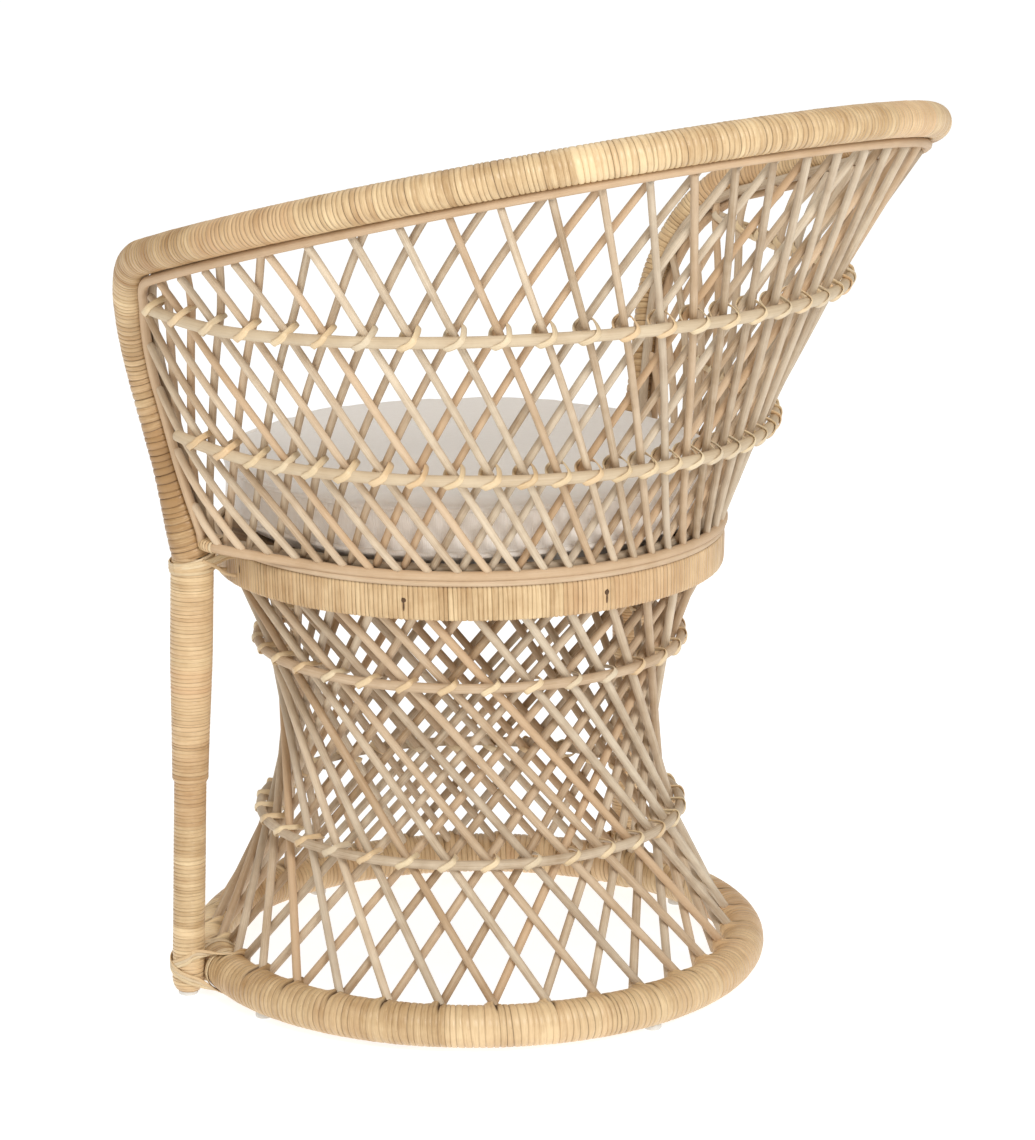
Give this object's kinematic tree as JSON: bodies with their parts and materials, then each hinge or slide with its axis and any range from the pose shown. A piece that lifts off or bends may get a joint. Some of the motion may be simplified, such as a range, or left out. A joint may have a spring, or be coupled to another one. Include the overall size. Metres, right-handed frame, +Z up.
{
  "type": "rattan tub chair",
  "caption": "Rattan tub chair with an hourglass base of crossed rods, a flared open-lattice back under a cane-wrapped rail, two front legs and a loose round cushion.",
  "frame": {"origin": "on the floor, under the middle of the chair's overall box", "axes": "+Z up, -Y towards the open front of the seat, +X to the sitter's left"},
  "size_m": [0.6992, 0.6682, 0.7905],
  "materials": {
    "base_cane": "satin, split cane wrap over rattan pole, with plain rods",
    "wrapped_cane": "satin split cane wrap",
    "rattan_rod": "matt, peeled rattan core",
    "pale_rattan": "matt, pale peeled rattan",
    "linen": "plain-woven off-white linen",
    "glide_plastic": "matt moulded"
  },
  "bodies": {
    "chair": {"base_ring_outer_rods": "base_cane", "seat_ring_inner_rods": "rattan_rod", "waist_hoop_lower": "rattan_rod", "waist_hoop_upper": "rattan_rod", "seat_band": "wrapped_cane", "seat_deck": "rattan_rod", "rim_rail": "wrapped_cane", "back_panel_outer_rods": "rattan_rod", "back_panel_inner_rods": "rattan_rod", "back_hoop_lower": "pale_rattan", "back_hoop_upper": "pale_rattan", "leg_left": "wrapped_cane", "leg_right": "wrapped_cane", "glide_leg_left": "glide_plastic", "glide_leg_right": "glide_plastic", "foot_lashing_left": "wrapped_cane", "foot_lashing_right": "wrapped_cane", "seat_lashing_left": "wrapped_cane", "seat_lashing_right": "wrapped_cane", "glide_ring_back": "glide_plastic", "glide_ring_right": "glide_plastic", "glide_ring_front": "glide_plastic", "glide_ring_left": "glide_plastic"},
    "cushion": {"seat_cushion": "linen"}
  },
  "joints": [
    {"name": "cushion_lift", "type": "slide", "parent": "chair", "child": "cushion", "axis": [0, 0, 1], "range_m": [0, 0.42]}
  ]
}
